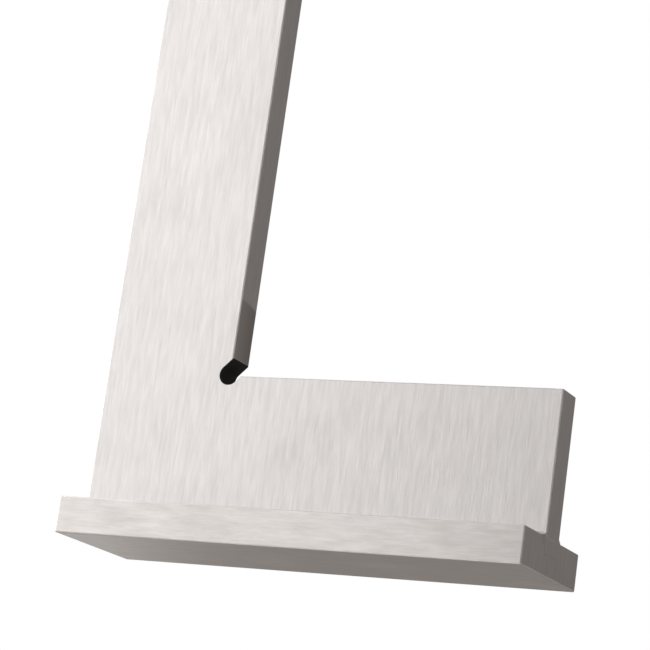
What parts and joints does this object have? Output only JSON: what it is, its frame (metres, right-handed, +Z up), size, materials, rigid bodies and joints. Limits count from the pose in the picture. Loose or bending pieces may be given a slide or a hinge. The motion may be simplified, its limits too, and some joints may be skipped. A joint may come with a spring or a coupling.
{
  "type": "flanged steel square",
  "caption": "L-shaped ground steel blade with a relief slot in its inner corner, standing on a wide stop base, for marking and checking right angles on leather and other sheet.",
  "frame": {"origin": "on the plane of the sole, under the middle of the object's box", "axes": "+Z up the long leg, +X along the short leg to its free end, +Y through the blade to the rear face"},
  "size_m": [0.07, 0.021, 0.1],
  "materials": {
    "blade_steel": "ground bright, fine lines up and down the plate, both legs alike",
    "base_steel": "ground bright, fine lines lengthwise",
    "solder": "hard solder, wiped smooth in the root and ground flush at the ends",
    "dowel_steel": "fine ground"
  },
  "bodies": {
    "root": {"blade": "blade_steel", "stop_base": "base_steel", "solder_front": "solder", "solder_rear": "solder", "dowel_1": "dowel_steel", "dowel_2": "dowel_steel", "dowel_3": "dowel_steel"}
  },
  "joints": []
}
